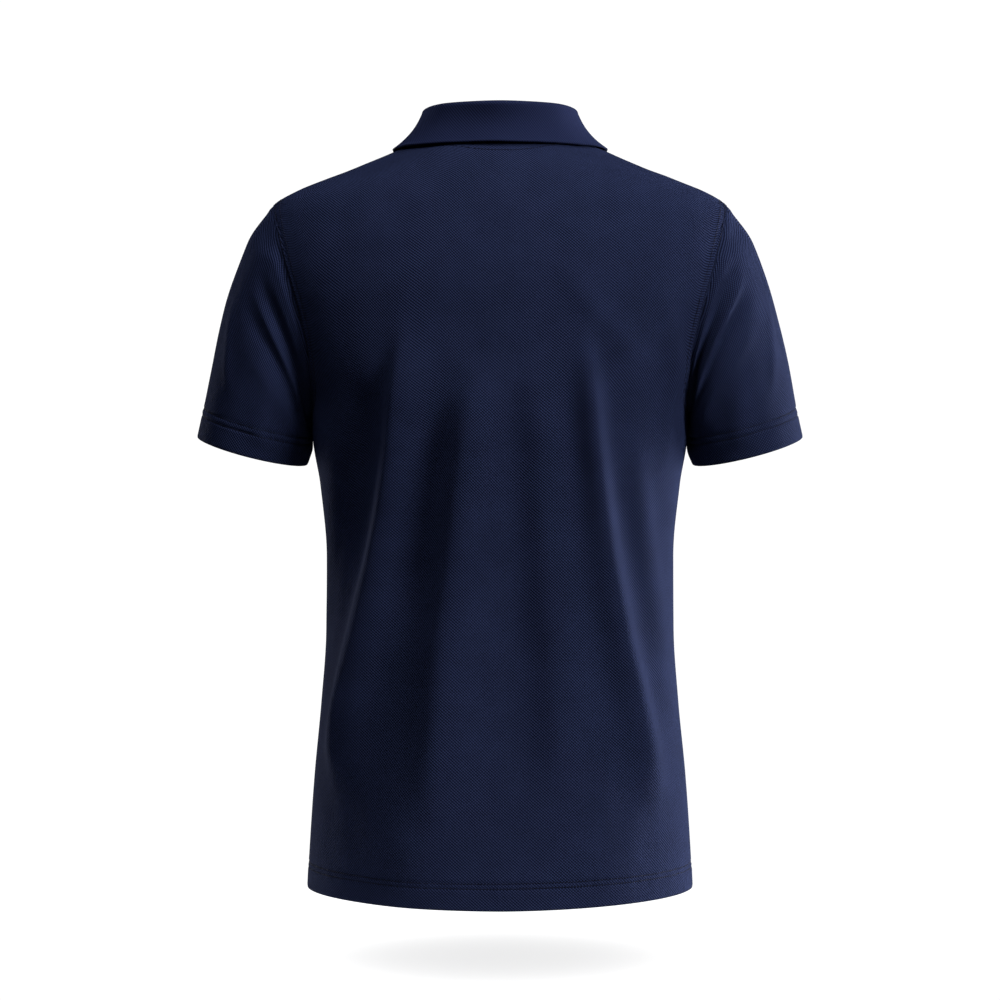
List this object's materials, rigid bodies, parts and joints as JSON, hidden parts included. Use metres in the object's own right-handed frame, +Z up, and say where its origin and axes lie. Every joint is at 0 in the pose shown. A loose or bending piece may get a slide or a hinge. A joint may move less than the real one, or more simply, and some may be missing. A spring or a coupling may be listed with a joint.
{
  "type": "polo shirt",
  "caption": "Short-sleeved navy polo shirt in knitted pique, in its hollow worn form, with a folded knitted collar and a buttoned placket.",
  "frame": {"origin": "middle of the neck, level with the high points of the shoulders, where the wearer's shoulders and neck hold the shirt", "axes": "+Z up the body, the shirt's back faces +Y, +X to the wearer's left"},
  "size_m": [0.582, 0.252, 0.7441],
  "materials": {
    "pique": "matt knitted cotton pique, dyed navy",
    "rib_knit": "matt flat-knitted cotton rib, dyed navy",
    "button": "satin moulded polyester, dyed navy"
  },
  "bodies": {
    "root": {"back_panel": "pique", "front_panel": "pique", "sleeve_left": "pique", "sleeve_right": "pique", "collar": "rib_knit", "placket_top": "pique", "placket_under": "pique", "button_1": "button", "button_2": "button", "button_3": "button"}
  },
  "joints": []
}
